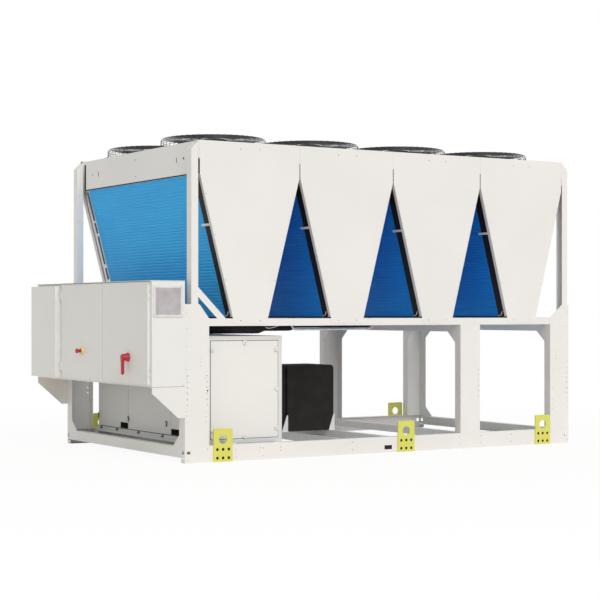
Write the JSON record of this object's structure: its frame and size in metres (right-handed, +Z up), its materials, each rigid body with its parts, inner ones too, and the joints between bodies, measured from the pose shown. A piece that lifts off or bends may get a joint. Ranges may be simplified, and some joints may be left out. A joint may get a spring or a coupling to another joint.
{
  "type": "air cooled water chiller",
  "caption": "Packaged air cooled water chiller: V-shaped coil modules with roof fans on a raised frame, compressor housing below and an electrical cabinet at one end.",
  "frame": {"origin": "middle of the footprint on the ground", "axes": "+X along the unit away from the electrical cabinet, +Y across it to the far long side, +Z up"},
  "size_m": [4.1606, 2.2566, 2.554],
  "materials": {
    "frame_paint": "satin powder coat, ivory",
    "end_paint": "satin powder coat, ivory",
    "coil_fins": "blue epoxy coated fins",
    "header_metal": "dark seal and headers",
    "galvanised": "galvanised",
    "guard_wire": "coated wire",
    "fan_plastic": "moulded blades",
    "insulation": "closed cell insulation",
    "red_plastic": "moulded",
    "lug_paint": "yellow paint"
  },
  "bodies": {
    "root": {"base_rails": "frame_paint", "end_frame_left": "end_paint", "end_frame_right": "end_paint", "base_beams": "end_paint", "lower_posts_near": "frame_paint", "lower_posts_far": "frame_paint", "mid_rails": "frame_paint", "portal_beams": "end_paint", "upper_posts": "frame_paint", "end_skirts": "end_paint", "side_panels_near": "frame_paint", "side_panels_far": "frame_paint", "coils": "coil_fins", "coil_ends": "header_metal", "coil_trays": "galvanised", "fan_deck_1": "frame_paint", "fan_deck_2": "frame_paint", "fan_deck_3": "frame_paint", "fan_deck_4": "frame_paint", "fan_guards": "guard_wire", "compressor_housing": "end_paint", "housing_panels": "frame_paint", "evaporator": "insulation", "suction_pipe": "insulation", "liquid_pipe": "galvanised", "cabinet_body": "end_paint", "cabinet_roof": "end_paint", "cabinet_side_box": "end_paint", "cabinet_hinges": "frame_paint", "mounting_plate": "galvanised", "filter_grille": "frame_paint", "cabinet_brackets": "frame_paint", "lifting_lugs": "lug_paint"},
    "fan_1": {"fan_rotor_1": "fan_plastic"},
    "fan_2": {"fan_rotor_2": "fan_plastic"},
    "fan_3": {"fan_rotor_3": "fan_plastic"},
    "fan_4": {"fan_rotor_4": "fan_plastic"},
    "fan_5": {"fan_rotor_5": "fan_plastic"},
    "fan_6": {"fan_rotor_6": "fan_plastic"},
    "fan_7": {"fan_rotor_7": "fan_plastic"},
    "fan_8": {"fan_rotor_8": "fan_plastic"},
    "door_left": {"cabinet_door_left": "end_paint"},
    "door_right": {"cabinet_door_right": "end_paint"},
    "handle": {"isolator_handle": "red_plastic"},
    "button": {"stop_button": "red_plastic"}
  },
  "joints": [
    {"name": "fan_1_spin", "type": "hinge", "parent": "root", "child": "fan_1", "pos_m": [-1.1497, -0.508, 2.44], "axis": [0, 0, 1], "continuous": true},
    {"name": "fan_2_spin", "type": "hinge", "parent": "root", "child": "fan_2", "pos_m": [-0.2497, -0.508, 2.44], "axis": [0, 0, 1], "continuous": true},
    {"name": "fan_3_spin", "type": "hinge", "parent": "root", "child": "fan_3", "pos_m": [0.6503, -0.508, 2.44], "axis": [0, 0, 1], "continuous": true},
    {"name": "fan_4_spin", "type": "hinge", "parent": "root", "child": "fan_4", "pos_m": [1.5503, -0.508, 2.44], "axis": [0, 0, 1], "continuous": true},
    {"name": "fan_5_spin", "type": "hinge", "parent": "root", "child": "fan_5", "pos_m": [-1.1497, 0.508, 2.44], "axis": [0, 0, 1], "continuous": true},
    {"name": "fan_6_spin", "type": "hinge", "parent": "root", "child": "fan_6", "pos_m": [-0.2497, 0.508, 2.44], "axis": [0, 0, 1], "continuous": true},
    {"name": "fan_7_spin", "type": "hinge", "parent": "root", "child": "fan_7", "pos_m": [0.6503, 0.508, 2.44], "axis": [0, 0, 1], "continuous": true},
    {"name": "fan_8_spin", "type": "hinge", "parent": "root", "child": "fan_8", "pos_m": [1.5503, 0.508, 2.44], "axis": [0, 0, 1], "continuous": true},
    {"name": "door_right_hinge", "type": "hinge", "parent": "root", "child": "door_right", "pos_m": [-2.0203, -1.086, 1], "axis": [0, 0, 1], "range_deg": [0, 110]},
    {"name": "door_left_hinge", "type": "hinge", "parent": "root", "child": "door_left", "pos_m": [-2.0203, 0.566, 1], "axis": [0, 0, -1], "range_deg": [0, 90]},
    {"name": "handle_turn", "type": "hinge", "parent": "door_right", "child": "handle", "pos_m": [-2.0503, -0.741, 0.805], "axis": [-1, 0, 0], "range_deg": [0, 90]},
    {"name": "button_push", "type": "slide", "parent": "door_left", "child": "button", "axis": [1, 0, 0], "range_m": [0, 0.005]}
  ]
}
